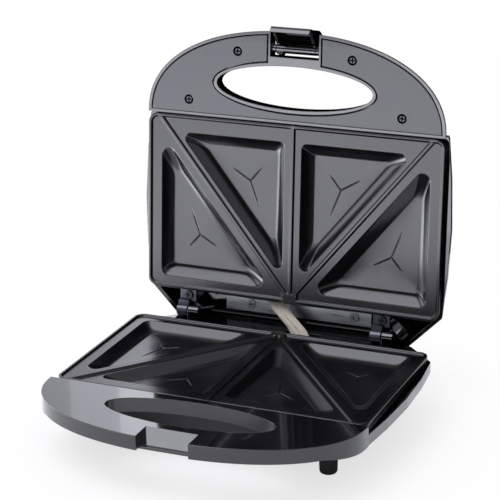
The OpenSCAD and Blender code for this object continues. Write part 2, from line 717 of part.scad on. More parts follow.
module lid_housing() {
    panel_back = -handle_gap - panel_t;
    gloss_black() under_lid() difference() {
        union() {
            difference() {
                lid_solid();
                intersection() {
                    loft([for (k = lid_handle_hollow) at_height(handle_outline(lid_setback + k[1]), k[0])]);
                    translate([-150, apex_y, -20]) cube([300, handle_y - 1.5 - apex_y, 30]);
                }
                loft([for (k = lid_hollow) body_ring(k[0], k[1], k[2], k[3], 3 + k[1] * 0.25, bow_share(k))]);
                latch_window(0);
            }
            plate_shelf(lid_rear_y, half_d + 2);
            intersection() {
                lid_handle_solid();
                union() {
                    slab(-12, 0) translate([0, -hole_y]) ellipse(lid_hole_a + hole_rim, lid_hole_b + hole_rim);
                    both_sides() translate([latch_window_w / 2, apex_y, -12])
                        cube([window_wall, window_y - apex_y + 1, 12]);
                    translate([-latch_window_w / 2 - window_wall, window_y, -12])
                        cube([latch_window_w + 2 * window_wall, 6, 12]);
                    for (p = panel_screws) translate([p.x, p.y, -12]) cylinder(d = 7, h = 12 + panel_back);
                }
            }
            both_sides() translate([latch_w / 2 + cover_gap, -latch_pivot_y, -latch_pivot_z]) rotate([0, 90, 0])
                cylinder(d = latch_pin_d + 3.2, h = (latch_window_w - latch_w) / 2 + 1);
            for (x = [hinge_left_x, hinge_right_x]) translate([x - 1.4, bracket_y, 4.5 - lid_depth])
                cylinder(d = 8, h = lid_depth - 4.5 - bracket_z - bracket_t);
            for (p = shield_screws)
                translate([p.x, p.y, 3 - lid_depth]) cylinder(d = 7, h = shield_z - shield_t + lid_depth - 3);
        }
        translate([0, -hole_y, -15]) linear_extrude(20) ellipse(lid_hole_a, lid_hole_b);
        translate([0, -latch_pivot_y, -latch_pivot_z]) rotate([0, 90, 0])
            cylinder(d = latch_pin_d + 2 * fixed_clearance, h = 60, center = true);
        for (p = panel_screws) tap(p.x, p.y, panel_back, 5);
        for (x = [hinge_left_x, hinge_right_x]) tap(x - 1.4, bracket_y, -bracket_z - bracket_t, 9);
        for (p = shield_screws) tap(p.x, p.y, shield_z - shield_t, 3.5);
        both_sides() translate([lamp_x, lamp_y, -lid_depth - 1])
            cylinder(d = lamp_d + 2 * fixed_clearance, h = 6);
        // Slot for the wire sleeve
        translate([-26, half_d, shelf_z - 1]) cube([19, 6, shell_t + 2]);
    }
}

lamp_d = 8;

// Screw hole that opens at height z
module tap(x, y, z, depth) {
    translate([x, y, z - depth]) cylinder(d = small_screw_d + 2 * fixed_clearance, h = depth + 1);
}

// Opening for the latch, widened by grow and lengthened by extra
module latch_window(grow, extra = 0) {
    translate([-latch_window_w / 2 - grow, apex_y - 5, -15])
        cube([latch_window_w + 2 * grow, window_y - apex_y + 5 + extra, 20]);
}

// Cover of the lid's handle, recessed behind the rim of the shell
module lid_handle_cover() {
    z1 = -handle_gap - panel_t;
    gloss_black() under_lid() difference() {
        intersection() {
            slab(z1, -handle_gap) handle_2d(lid_setback + lid_rim + seam);
            translate([-150, apex_y, z1]) cube([300, handle_y - 1.8 - apex_y, panel_t]);
        }
        translate([0, -hole_y, -5]) linear_extrude(10)
            ellipse(lid_hole_a + hole_rim + seam, lid_hole_b + hole_rim + seam);
        latch_window(window_wall + seam, 6 + seam);
        for (p = panel_screws) translate([p.x, p.y, z1 - 1]) {
            cylinder(d = small_screw_d + 0.4, h = 5);
            translate([0, 0, 2]) cylinder(d = flat_head_d + 0.4, h = 5);
        }
    }
}

module handle_screw_set() {
    under_lid() for (p = panel_screws) translate([p.x, p.y, 1 - handle_gap - panel_t]) mirror([0, 0, 1])
        screw(small_screw_d - 0.05, 2 * panel_t, flat_head_d, flat_head_h);
}

// Sheet steel bracket with the moving knuckle of a hinge, drawn on the closed lid
module hinge_bracket(x) {
    steel() on_lid() difference() {
        union() {
            translate([x - 8.4, hinge_y - 14.7, bracket_z]) cube([12.4, 8.4, bracket_t]);
            translate([x - 8.4, hinge_y - 7.5, 0]) cube([knuckle_w, 7.5, bracket_z + bracket_t]);
            translate([x - 8.4, hinge_y, 0]) rotate([0, 90, 0]) cylinder(r = knuckle_r, h = knuckle_w);
        }
        translate([x - 10, hinge_y, 0]) rotate([0, 90, 0])
            cylinder(d = hinge_pin_d + 2 * running_clearance, h = 12);
        translate([x - 1.4, bracket_y, 0]) cylinder(d = small_screw_d + 0.4, h = 8);
    }
}

module hinge_screw(x) {
    on_lid() translate([x - 1.4, bracket_y, bracket_z])
        screw(small_screw_d, 3 * small_screw_d, 2 * small_screw_d, 1.6);
}

module upper_heat_shield() {
    under_lid() heat_shield() {
        difference() {
            translate([-tongue_half_w, tray_rear_y - 1, shield_z - shield_t])
                cube([2 * tongue_half_w, tongue_rear_y - tray_rear_y + 1, shield_t]);
            for (p = shield_screws)
                translate([p.x, p.y, shield_z - 2]) cylinder(d = small_screw_d + 0.4, h = 4);
        }
    }
}

module shield_screw_set() {
    under_lid() for (p = shield_screws) translate([p.x, p.y, shield_z]) mirror([0, 0, 1])
        screw(small_screw_d - 0.05, small_screw_d + 1, flat_head_d, flat_head_h);
}

// Round lens of a pilot lamp, clipped into the crown of the lid
module lamp_lens(x, tint) {
    color(tint) under_lid() translate([x, lamp_y, -lid_depth]) rotate_extrude()
        polygon([[0, -0.2], [lamp_d / 2 - 1, -0.2], [lamp_d / 2, 0.3], [lamp_d / 2, shell_t],
                 [lamp_d / 2 + 1.2, shell_t], [lamp_d / 2 + 1.2, shell_t + 1], [0, shell_t + 1]]);
}

// Latch, drawn locked around its pin

module latch() {
    w = latch_w;
    outer_r = 14.3;
    lip_r = hook_r + 1.75;
    wall_y = -12.9;
    cheek_z = -14.2;
    spring_w = w / 6;
    arc = [for (a = [125:10:205]) outer_r * [cos(a), sin(a)]];
    back_arc = [for (a = [205:-10:125]) (outer_r - latch_t) * [cos(a), sin(a)]];
    lip = [for (y = [wall_y:1.05:wall_y + 4.2]) [y, -sqrt(lip_r * lip_r - y * y)]];
    grip = [for (y = [wall_y + 4.2:-1.1:wall_y + latch_t]) [y, -sqrt(hook_r * hook_r - y * y)]];
    gloss_black() on_latch() difference() {
        union() {
            across(w) polygon(concat(arc, lip, grip, [[wall_y + latch_t, -6]], back_arc));
            across(w) polygon([[-13, -1.2], [-13, 1.2], [0, 1.2], [0, -1.2]]);
            rotate([0, 90, 0]) cylinder(d = latch_pin_d + 3.4, h = w, center = true);
            both_sides() translate([w / 2 - latch_t / 2, 0, 0]) across(latch_t)
                polygon(concat(arc, [[wall_y, cheek_z], [wall_y + latch_t, cheek_z], [-2, -2.2], [2, 0], [1.6, 2.2]]));
            // Cover of the torsion spring at the left end of the pin
            translate([spring_w / 2 - w / 2 + 0.3, 0, 0]) across(spring_w - 0.6)
                polygon([[-11.5, 4], [-11.5, -2], [-3, -3.4], [4, -2], [4.2, 2.9], [-2.5, 8], [-9, 8]]);
        }
        rotate([0, 90, 0]) cylinder(d = latch_pin_d + 2 * running_clearance, h = w + 2, center = true);
    }
}

// Solid of width w across X from an outline in Y and Z
module across(w) {
    rotate([90, 0, 90]) linear_extrude(height = w, center = true) children();
}

module latch_pin() {
    steel() on_lid() translate([0, -latch_pivot_y, latch_pivot_z]) rotate([0, 90, 0])
        cylinder(d = latch_pin_d, h = latch_window_w + 2 * window_wall, center = true);
}

// Flat braided sleeve with the wires to the lid, crossing the hinge line
module wire_sleeve() {
    color([0.76, 0.72, 0.64]) on_base()
        loft([for (p = sleeve_path) [for (t = [0:20:340])
            [p.x + sleeve_w / 2 * cos(t), hinge_y + p.y + sleeve_t / 2 * sin(t), p.z]]]);
}

base_housing();
base_cover();
on_base() cooking_plate();  // lower_plate
on_base() heating_element();  // lower_heating_element
on_base() element_terminals();  // lower_element_terminals
on_base() heat_shield();  // lower_heat_shield
on_base() plate_screw_set();  // lower_plate_screws
thermostat();
terminal_block();
cord_bushing();
foot(foot_places[0]);  // foot_front_left
foot(foot_places[1]);  // foot_front_right
foot(foot_places[2]);  // foot_rear_left
foot(foot_places[3]);  // foot_rear_right
cover_screw_set();  // base_cover_screws
hinge_pin(hinge_left_x);  // hinge_pin_left
hinge_pin(hinge_right_x);  // hinge_pin_right
lid_housing();
lid_handle_cover();
handle_screw_set();  // lid_handle_screws
hinge_bracket(hinge_left_x);  // hinge_bracket_left
hinge_bracket(hinge_right_x);  // hinge_bracket_right
hinge_screw(hinge_left_x);  // hinge_screw_left
hinge_screw(hinge_right_x);  // hinge_screw_right
under_lid() cooking_plate();  // upper_plate
under_lid() heating_element();  // upper_heating_element
under_lid() element_terminals();  // upper_element_terminals
upper_heat_shield();
under_lid() plate_screw_set();  // upper_plate_screws
shield_screw_set();  // upper_shield_screws
lamp_lens(-lamp_x, [0.7, 0.1, 0.08]);  // power_lamp_lens
lamp_lens(lamp_x, [0.12, 0.5, 0.16]);  // ready_lamp_lens
latch();
latch_pin();
wire_sleeve();
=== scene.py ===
import math

import bpy
from mathutils import Matrix, Vector
from mathutils.geometry import delaunay_2d_cdt


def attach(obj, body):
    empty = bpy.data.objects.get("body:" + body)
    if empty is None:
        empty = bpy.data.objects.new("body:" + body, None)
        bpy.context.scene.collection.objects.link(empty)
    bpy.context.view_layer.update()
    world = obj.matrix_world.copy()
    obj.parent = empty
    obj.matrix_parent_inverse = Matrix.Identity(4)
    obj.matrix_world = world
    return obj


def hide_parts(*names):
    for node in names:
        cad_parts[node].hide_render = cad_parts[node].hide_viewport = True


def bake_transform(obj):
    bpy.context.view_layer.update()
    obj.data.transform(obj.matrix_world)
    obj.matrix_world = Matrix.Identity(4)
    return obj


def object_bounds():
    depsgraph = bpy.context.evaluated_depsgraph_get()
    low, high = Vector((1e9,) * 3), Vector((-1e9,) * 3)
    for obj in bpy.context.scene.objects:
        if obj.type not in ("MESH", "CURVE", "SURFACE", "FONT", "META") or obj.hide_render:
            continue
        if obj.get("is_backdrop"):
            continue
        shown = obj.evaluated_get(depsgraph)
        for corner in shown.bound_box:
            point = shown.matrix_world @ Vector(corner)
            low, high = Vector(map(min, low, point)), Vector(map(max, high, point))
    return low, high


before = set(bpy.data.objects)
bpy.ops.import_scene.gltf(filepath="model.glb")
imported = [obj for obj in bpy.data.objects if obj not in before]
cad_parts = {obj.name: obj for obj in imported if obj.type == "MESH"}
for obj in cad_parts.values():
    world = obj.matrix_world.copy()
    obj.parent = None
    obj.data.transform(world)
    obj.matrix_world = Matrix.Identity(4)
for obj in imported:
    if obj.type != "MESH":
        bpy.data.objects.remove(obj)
cad_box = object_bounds()

# Camera
# A long lens in front and to the right, looking down on the object by 19 degrees.
# Its place, turn and focal length follow from the corners of both plates.
MM = 0.001
PARTING = 42 * MM          # closing line above the table
SHIFT = 6.908 * MM         # plate centre behind the middle of the object
CAMERA_PLACE = (0.49757, -1.13005, 0.55823)
FOCAL_LENGTH, SENSOR_WIDTH = 142.51, 36
camera_turn, camera_rise, camera_roll = (math.radians(a) for a in (23.39, 19.29, -1.096))
camera_data = bpy.data.cameras.new("photo_camera")
camera_data.sensor_width = SENSOR_WIDTH
camera_data.lens = FOCAL_LENGTH
camera_data.clip_end = 20
camera = bpy.data.objects.new("photo_camera", camera_data)
bpy.context.scene.collection.objects.link(camera)
back = Vector((math.sin(camera_turn) * math.cos(camera_rise), -math.cos(camera_turn) * math.cos(camera_rise),
               math.sin(camera_rise)))
side = (-back).cross(Vector((0, 0, 1))).normalized()
over = side.cross(-back)
turned_side = side * math.cos(camera_roll) + over * math.sin(camera_roll)
turned_over = over * math.cos(camera_roll) - side * math.sin(camera_roll)
camera.matrix_world = Matrix.Translation(CAMERA_PLACE) @ Matrix(
    (turned_side, turned_over, back)).transposed().to_4x4()
bpy.context.scene.camera = camera
bpy.context.scene.view_settings.view_transform = "Standard"

# Studio
# A pale floor that keeps the object's shadow and runs out into a white backdrop.
# Light panels hang above and behind, stand on the left and far in front, and lie on the
# floor in front and on the left. Black cards darken what the gloss mirrors elsewhere.
PANEL_WHITE = "#f3f4ff"
FLOOR_REACH = 3


def linear(code):
    """Linear colour, with alpha, of an sRGB hex code."""
    parts = [int(code[i:i + 2], 16) / 255 for i in (1, 3, 5)]
    return tuple(c / 12.92 if c <= 0.04045 else ((c + 0.055) / 1.055) ** 2.4 for c in parts) + (1,)


def add_node(tree, kind, sockets=None, **settings):
    """A new node with its settings, and with its sockets set or linked."""
    made = tree.nodes.new(kind)
    for name, value in settings.items():
        setattr(made, name, value)
    for name, value in (sockets or {}).items():
        if isinstance(value, bpy.types.NodeSocket):
            tree.links.new(value, made.inputs[name])
        else:
            made.inputs[name].default_value = value
    return made


def calc(tree, operation, *values):
    """Result of a calculation with numbers or sockets."""
    return add_node(tree, "ShaderNodeMath", dict(enumerate(values)), operation=operation).outputs[0]


def new_material(name):
    """An empty material and its node tree."""
    made = bpy.data.materials.new(name)
    made.use_nodes = True
    made.node_tree.nodes.clear()
    return made, made.node_tree


world = bpy.data.worlds.new("white_studio")
bpy.context.scene.world = world
world.use_nodes = True
tree = world.node_tree
tree.nodes.clear()
path = add_node(tree, "ShaderNodeLightPath")
seen = calc(tree, "MAXIMUM", path.outputs["Is Camera Ray"], path.outputs["Is Transmission Ray"])
soft = add_node(tree, "ShaderNodeBackground", {"Color": linear("#f4f6fa"), "Strength": 0.75})
white = add_node(tree, "ShaderNodeBackground", {"Color": (1, 1, 1, 1), "Strength": 1})
mirrored = add_node(tree, "ShaderNodeBackground", {"Color": linear(PANEL_WHITE), "Strength": 0.7})
lighting = add_node(tree, "ShaderNodeMixShader", {
    0: path.outputs["Is Glossy Ray"], 1: soft.outputs[0], 2: mirrored.outputs[0]})
backdrop = add_node(tree, "ShaderNodeMixShader", {0: seen, 1: lighting.outputs[0], 2: white.outputs[0]})
add_node(tree, "ShaderNodeOutputWorld", {"Surface": backdrop.outputs[0]})

floor_mesh = bpy.data.meshes.new("floor")
floor_mesh.from_pydata([(x * FLOOR_REACH, y * FLOOR_REACH, 0) for x, y in ((-1, -1), (1, -1), (1, 1), (-1, 1))],
                       [], [(0, 1, 2, 3)])
floor = bpy.data.objects.new("floor", floor_mesh)
bpy.context.scene.collection.objects.link(floor)
floor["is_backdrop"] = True
floor_finish, tree = new_material("pale_studio_floor")
place = add_node(tree, "ShaderNodeNewGeometry")
away = add_node(tree, "ShaderNodeVectorMath", {0: place.outputs["Position"]}, operation="LENGTH")
fade = add_node(tree, "ShaderNodeMapRange", {"Value": away.outputs["Value"], "From Min": 0.08, "From Max": 0.24,
                                             "To Min": 0.7}, interpolation_type="SMOOTHSTEP")
path = add_node(tree, "ShaderNodeLightPath")
shown = calc(tree, "MULTIPLY", path.outputs["Is Camera Ray"], fade.outputs[0])
paint = add_node(tree, "ShaderNodeBsdfPrincipled", {"Base Color": linear("#f2f2f2"), "Roughness": 0.9,
                                                    "Specular IOR Level": 0.1})
glow = add_node(tree, "ShaderNodeEmission", {"Color": (1, 1, 1, 1), "Strength": 1})
mixed = add_node(tree, "ShaderNodeMixShader", {0: shown, 1: paint.outputs[0], 2: glow.outputs[0]})
add_node(tree, "ShaderNodeOutputMaterial", {"Surface": mixed.outputs[0]})
floor_mesh.materials.append(floor_finish)

# Name, brightness where it is mirrored, size, place, and the point it faces
for name, bright, size, at, aim in (
        ("upper_soft_box", 3.4, (1.1, 1.3), (-0.5, -0.5, 1.35), (-0.5, -0.5, 0)),
        ("back_strip", 1.2, (1.4, 0.4), (-0.3, 1.4, 1.2), (0, 0, 0.1)),
        ("back_left_low_panel", 1.5, (0.18, 0.8), (-0.63, 1.2, 0.7), (-0.63, 0, 0.7)),
        ("back_left_low_panel_dim", 0.8, (0.08, 0.8), (-0.76, 1.2, 0.7), (-0.76, 0, 0.7)),
        ("back_left_low_panel_faint", 0.35, (0.07, 0.8), (-0.835, 1.2, 0.7), (-0.835, 0, 0.7)),
        ("back_left_low_panel_edge", 0.15, (0.08, 0.8), (-0.91, 1.2, 0.7), (-0.91, 0, 0.7)),
        ("near_front_low_panel", 3.0, (0.91, 1.24), (-0.545, -0.83, 0.003), (-0.545, -0.83, 1)),
        ("near_front_low_panel_dim", 2.0, (0.07, 1.24), (-0.055, -0.83, 0.003), (-0.055, -0.83, 1)),
        ("near_front_low_panel_edge", 1.0, (0.05, 1.24), (0.005, -0.83, 0.003), (0.005, -0.83, 1)),
        ("far_front_upright_low_panel", 1.2, (1.9, 0.7), (-0.8, -2.95, 0.35), (-0.8, 0, 0.35)),
        ("far_front_low_panel", 4.0, (1.6, 1.55), (-0.6, -2.225, 0.003), (-0.6, -2.225, 1)),
        ("left_low_panel", 8.0, (0.85, 0.54), (-0.675, 0.07, 0.004), (-0.675, 0.07, 1)),
        ("left_upright_low_panel", 2.5, (0.8, 0.5), (-1.0, -0.1, 0.55), (0, -0.1, 0.55))):
    lamp = bpy.data.lights.new(name, "AREA")
    lamp.shape = "RECTANGLE"
    lamp.size, lamp.size_y = size
    lamp.energy = bright * math.pi * size[0] * size[1]
    lamp.color = linear(PANEL_WHITE)[:3]
    holder = bpy.data.objects.new(name, lamp)
    holder.location = at
    holder.rotation_euler = (Vector(at) - Vector(aim)).to_track_quat("Z", "Y").to_euler()
    holder.visible_camera = False
    holder.visible_diffuse = "low" not in name
    bpy.context.scene.collection.objects.link(holder)



def lying(left, front, right, rear, height):
    """Corners of a card that lies on the floor."""
    return ((left, front, height), (right, front, height), (right, rear, height), (left, rear, height))


card_black, tree = new_material("black_card")
dull = add_node(tree, "ShaderNodeBsdfDiffuse", {"Color": (0.0, 0.0, 0.0, 1)})
add_node(tree, "ShaderNodeOutputMaterial", {"Surface": dull.outputs[0]})
for name, corners in (
        ("card_floor_right", lying(0.22, -0.55, 1.5, 0.36, 0.002)),
        ("card_floor_front_right", lying(0.03, -1.6, 1.5, -0.28, 0.004)),
        ("card_floor_back", lying(-1.3, 0.36, 1.5, 2.0, 0.002)),
        ("card_back", ((-0.53, 1.3, 0), (1.6, 1.3, 0), (1.6, 1.3, 0.85), (-0.53, 1.3, 0.85))),
        ("card_right", ((1.3, -1.0, 0), (1.3, 0.8, 0), (1.3, 0.8, 1.0), (1.3, -1.0, 1.0))),
        ("card_front", ((-1.5, -1.5, 0.35), (1.3, -1.5, 0.35), (1.3, -1.2, 1.2), (-1.5, -1.2, 1.2)))):
    card_mesh = bpy.data.meshes.new(name)
    card_mesh.from_pydata(corners, [], [(0, 1, 2, 3)])
    card_mesh.materials.append(card_black)
    card = bpy.data.objects.new(name, card_mesh)
    bpy.context.scene.collection.objects.link(card)
    card.visible_camera = card.visible_diffuse = card.visible_shadow = card.visible_transmission = False
    card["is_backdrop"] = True

# Shells
# Base shell, lid shell and latch: black ABS, injected into polished steel moulds.
# The polish mirrors the room, which reads as grey on top and black where the lid shows.


def object_place(tree):
    """The point that is shaded, in the object's own frame."""
    return add_node(tree, "ShaderNodeTexCoord").outputs["Object"]


def noise(tree, where, patch_mm, detail=2):
    """Uneven values from 0 to 1 in patches of about this size."""
    return add_node(tree, "ShaderNodeTexNoise", {
        "Vector": where, "Scale": 1 / (patch_mm * MM), "Detail": detail}).outputs["Fac"]


def spread(tree, value, low, high):
    """A value from 0 to 1 stretched to a range."""
    return add_node(tree, "ShaderNodeMapRange", {"Value": value, "To Min": low, "To Max": high}).outputs[0]


def two_tone(tree, share, colours):
    """A colour between two sRGB hex codes."""
    return add_node(tree, "ShaderNodeMix", {"Factor": share, "A": linear(colours[0]), "B": linear(colours[1])},
                    data_type="RGBA").outputs["Result"]


def relief(tree, height, strength, deep_mm=0.1, normal=None):
    """Surface direction of a fine grain, on top of a rounded edge if one is given."""
    sockets = {"Strength": strength, "Distance": deep_mm * MM, "Height": height}
    if normal:
        sockets["Normal"] = normal
    return add_node(tree, "ShaderNodeBump", sockets).outputs[0]


def skin(tree, **sockets):
    """The surface of a material, with its sockets given by name."""
    look = add_node(tree, "ShaderNodeBsdfPrincipled", {name.replace("_", " "): v for name, v in sockets.items()})
    add_node(tree, "ShaderNodeOutputMaterial", {"Surface": look.outputs[0]})


GAP_REACH = 1.5 * MM


def gap_shade(tree):
    """1 on open surfaces, falling to 0 in narrow seams and recesses, where little light gets in or out."""
    free = add_node(tree, "ShaderNodeAmbientOcclusion", {"Distance": GAP_REACH}, samples=8)
    return add_node(tree, "ShaderNodeMapRange", {
        "Value": free.outputs["AO"], "From Min": 0.3, "From Max": 0.8}).outputs[0]


def plastic(name, colours, rough, coat, edge_mm, grain_mm=0.4, grain=0.02):
    """Moulded plastic with rounded edges, a faint unevenness, and painted shade that dims its gloss in seams and
    recesses.
    """
    made, tree = new_material(name)
    where = object_place(tree)
    uneven = noise(tree, where, 8, 3)
    round_edge = add_node(tree, "ShaderNodeBevel", {"Radius": edge_mm * MM}, samples=6).outputs[0]
    fine = noise(tree, where, grain_mm)
    gap_shade_share = gap_shade(tree)
    skin(tree, Base_Color=two_tone(tree, uneven, colours), Roughness=spread(tree, uneven, rough * 0.8, rough * 1.25),
         IOR=1.52, Specular_IOR_Level=calc(tree, "MULTIPLY", gap_shade_share, 0.5),
         Coat_Weight=calc(tree, "MULTIPLY", gap_shade_share, coat), Coat_Roughness=0.03, Coat_IOR=1.5,
         Normal=relief(tree, fine, grain, normal=round_edge), Coat_Normal=round_edge)
    return made


def finish_nodes(material, *names):
    """Gives CAD nodes their material."""
    for name in names:
        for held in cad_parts[name].material_slots:
            held.link = "OBJECT"
            held.material = material


CREASE = math.radians(24)
WELD = 0.005 * MM
shade_group = bpy.data.node_groups.new("smooth_below_crease", "GeometryNodeTree")
shade_group.interface.new_socket("Geometry", in_out="INPUT", socket_type="NodeSocketGeometry")
shade_group.interface.new_socket("Geometry", in_out="OUTPUT", socket_type="NodeSocketGeometry")
came = add_node(shade_group, "NodeGroupInput")
joined = add_node(shade_group, "GeometryNodeMergeByDistance", {"Geometry": came.outputs[0], "Distance": WELD})
round_all = add_node(shade_group, "GeometryNodeSetShadeSmooth", {"Geometry": joined.outputs[0]}, domain="FACE")
bend = add_node(shade_group, "GeometryNodeInputMeshEdgeAngle")
sharp = add_node(shade_group, "FunctionNodeCompare", {0: bend.outputs[0], 1: CREASE}, operation="GREATER_THAN")
keep_sharp = add_node(shade_group, "GeometryNodeSetShadeSmooth", {
    "Geometry": round_all.outputs[0], "Selection": sharp.outputs[0], "Shade Smooth": False}, domain="EDGE")
add_node(shade_group, "NodeGroupOutput", {"Geometry": keep_sharp.outputs[0]})
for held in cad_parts.values():
    held.modifiers.new("smooth_below_crease", "NODES").node_group = shade_group

gloss_abs = plastic("polished_black_abs", ("#050506", "#080809"), 0.1, 1.0, 0.6)
finish_nodes(gloss_abs, "base_housing", "lid_housing", "latch")

# Cooking plates
# Two cast aluminium plates with a dark non-stick coating, screwed to their shells.
# Each has a raised edge, three ribs, a pad where the ribs meet, and four triangle
# pockets whose walls run out softly into floors with a shallow three-legged mark.

# Millimetres, with heights below the closing line
PLATE_W, PLATE_D, PLATE_R = 222, 128, 7
RIM_Z, FLANGE_Z, FLANK_Z = -0.5, -2.0, -6.5
RIM_HIGH = RIM_Z - FLANGE_Z
EDGE_ROUND, RIM_IN, RIM_OUT = 0.6, 1.7, 2.9        # rounded outer edge, start and foot of the rim's inner side
POCKET_DEEP, POCKET_RUN, WALL = 6.0, 9.0, 2.5
INNER_R, OUTER_R = 4.2, 5.6                        # corners of the inner and outer pockets
WALL_STEPS, WALL_LIP, WALL_HOLLOW = 17, 0.04, 1.6
RIB_FRONT, RIB_BACK = (101.5, -61.6), (0.5, 61.6)
RIB_TOP, RIB_SIDE = 0.8, 0.9                       # half the flat top, and the run of one side
PAD_HALF, PAD_FRONT, PAD_SIDE = 5.2, 58, 1.4
RIM_STEPS = (0, 0.12, 0.3, 0.6, 1.2, 1.7, 2.0, 2.3, 2.6, 2.9, 3.2, 3.8)
RIB_STEPS = (0, 0.6, 0.8, 1.0, 1.5, 1.7, 1.9, 2.6)
MARK_HALF, MARK_DEEP = 0.6, 0.45
HINGE_Y = 79.5
LID_TURN = math.radians(95)


def smooth(low, high, value):
    """0 below low and 1 above high, with a soft step between them."""
    t = min(1, max(0, (value - low) / (high - low)))
    return t * t * (3 - 2 * t)


def round_outline(corners, inset, radius, steps):
    """Anticlockwise convex outline with its sides moved in and its corners rounded."""
    made = []
    for i, q in enumerate(corners):
        p, s = corners[i - 1], corners[(i + 1) % len(corners)]
        before = Vector((p[1] - q[1], q[0] - p[0])).normalized()
        after = Vector((q[1] - s[1], s[0] - q[0])).normalized()
        centre = Vector(q) + (before + after) * (inset + radius) / (1 + before.dot(after))
        start = math.atan2(-before.y, -before.x)
        turn = (math.atan2(-after.y, -after.x) - start) % math.tau
        for k in range(steps + 1):
            a = start + turn * k / steps
            made.append(centre + radius * Vector((math.cos(a), math.sin(a))))
    return made


def split_line(a, b, gap):
    """Points from a to b, at most gap apart."""
    a, b = Vector(a), Vector(b)
    count = max(1, math.ceil((b - a).length / gap))
    return [a.lerp(b, i / count) for i in range(count + 1)]


def split_loop(points, gap):
    """A closed outline with its long sides split."""
    return [p for i, a in enumerate(points) for p in split_line(a, points[(i + 1) % len(points)], gap)[:-1]]


def star_outline(centre, ends, gap):
    """Closed outline that keeps a distance from the legs of a mark."""
    made, centre = [], Vector(centre)
    legs = sorted((Vector(end) - centre for end in ends), key=lambda leg: math.atan2(leg.y, leg.x))
    for i, leg in enumerate(legs):
        a = math.atan2(leg.y, leg.x)
        onward = legs[(i + 1) % len(legs)]
        half = (math.atan2(onward.y, onward.x) - a) % math.tau / 2
        made.extend(centre + leg + gap * Vector((math.sin(a + t), -math.cos(a + t)))
                    for t in (math.pi * k / 6 for k in range(7)))
        made.append(centre + Vector((math.cos(a + half), math.sin(a + half))) * gap / math.sin(half))
    return made


def line_distance(p, a, b):
    """Distance from p to the stretch from a to b, and how far along it that is."""
    along = Vector(b) - Vector(a)
    t = min(1, max(0, (p - Vector(a)).dot(along) / along.length_squared))
    return (p - Vector(a) - along * t).length, t


rib_way = (Vector(RIB_BACK) - Vector(RIB_FRONT)).normalized()
rib_across = Vector((rib_way.y, -rib_way.x))


def rib_point(at, offset, known_x):
    """Where a line beside the slanting rib crosses an upright or a level line."""
    reach = at - RIB_FRONT[0] if known_x else at - RIB_FRONT[1]
    if known_x:
        return (at, RIB_FRONT[1] + (offset - rib_across.x * reach) / rib_across.y)
    return (RIB_FRONT[0] + (offset - rib_across.y * reach) / rib_across.x, at)


inner_corners = [(6, -51.8), rib_point(-51.8, -4.2, False), rib_point(6, -4.2, True)]
outer_corners = [(101.3, 56), rib_point(56, 7.2, False), rib_point(101.3, 7.2, True)]
inner_marks = [((34.2, -20), end) for end in ((25.8, -30.2), (47.8, -28.2), (27.2, -2))]
outer_marks = [((73, 24), end) for end in ((79.9, 5.5), (80.8, 33), (60.3, 31))]
pad_corners = [(-PAD_HALF, PAD_FRONT), (PAD_HALF, PAD_FRONT), (6, 63.6), (-6, 63.6)]


def edge_distance(p):
    """Distance from p to the plate's outer edge."""
    qx, qy = abs(p.x) - PLATE_W / 2 + PLATE_R, abs(p.y) - PLATE_D / 2 + PLATE_R
    return PLATE_R - math.hypot(max(qx, 0), max(qy, 0)) - min(max(qx, qy), 0)


def flange_height(p):
    """Height of the plate outside its pockets."""
    inside = edge_distance(p)
    edge = math.sqrt(max(0, EDGE_ROUND ** 2 - max(0, EDGE_ROUND - inside) ** 2))
    rim = RIM_Z - EDGE_ROUND + edge - RIM_HIGH * smooth(RIM_IN, RIM_OUT, inside)
    mirrored = Vector((abs(p.x), p.y))
    slant = abs((mirrored - Vector(RIB_FRONT)).dot(rib_across))
    ribs = RIM_Z - RIM_HIGH * min(1, max(0, (min(slant, abs(p.x)) - RIB_TOP) / RIB_SIDE))
    pad = RIM_Z - RIM_HIGH * smooth(0, PAD_SIDE, max(abs(p.x) - PAD_HALF, PAD_FRONT - p.y))
    return max(rim, ribs, pad, FLANGE_Z)


def wall_fall(t):
    """Share of the pocket's depth reached at share t of its wall: a small round lip, then a long hollow curve."""
    past_lip, whole = (s - WALL_LIP * (1 - math.exp(-s / WALL_LIP)) for s in (t, 1))
    return 1 - (1 - past_lip / whole) ** WALL_HOLLOW


def floor_height(p):
    """Height of a pocket's floor, lower in the legs of its mark, which get shallower towards their ends."""
    mirrored = Vector((abs(p.x), p.y))
    cut = 0
    for a, b in inner_marks + outer_marks:
        gap, t = line_distance(mirrored, a, b)
        if gap < MARK_HALF:
            across = 0.5 * (1 + math.cos(math.pi * gap / MARK_HALF))
            cut = max(cut, across * (1 - smooth(0.55, 1.0, t) * 0.8))
    return FLANGE_Z - POCKET_DEEP - MARK_DEEP * cut


def both_hands(steps):
    """Distances to both sides of a line, in order."""
    return sorted({step * hand for step in steps for hand in (1, -1)})


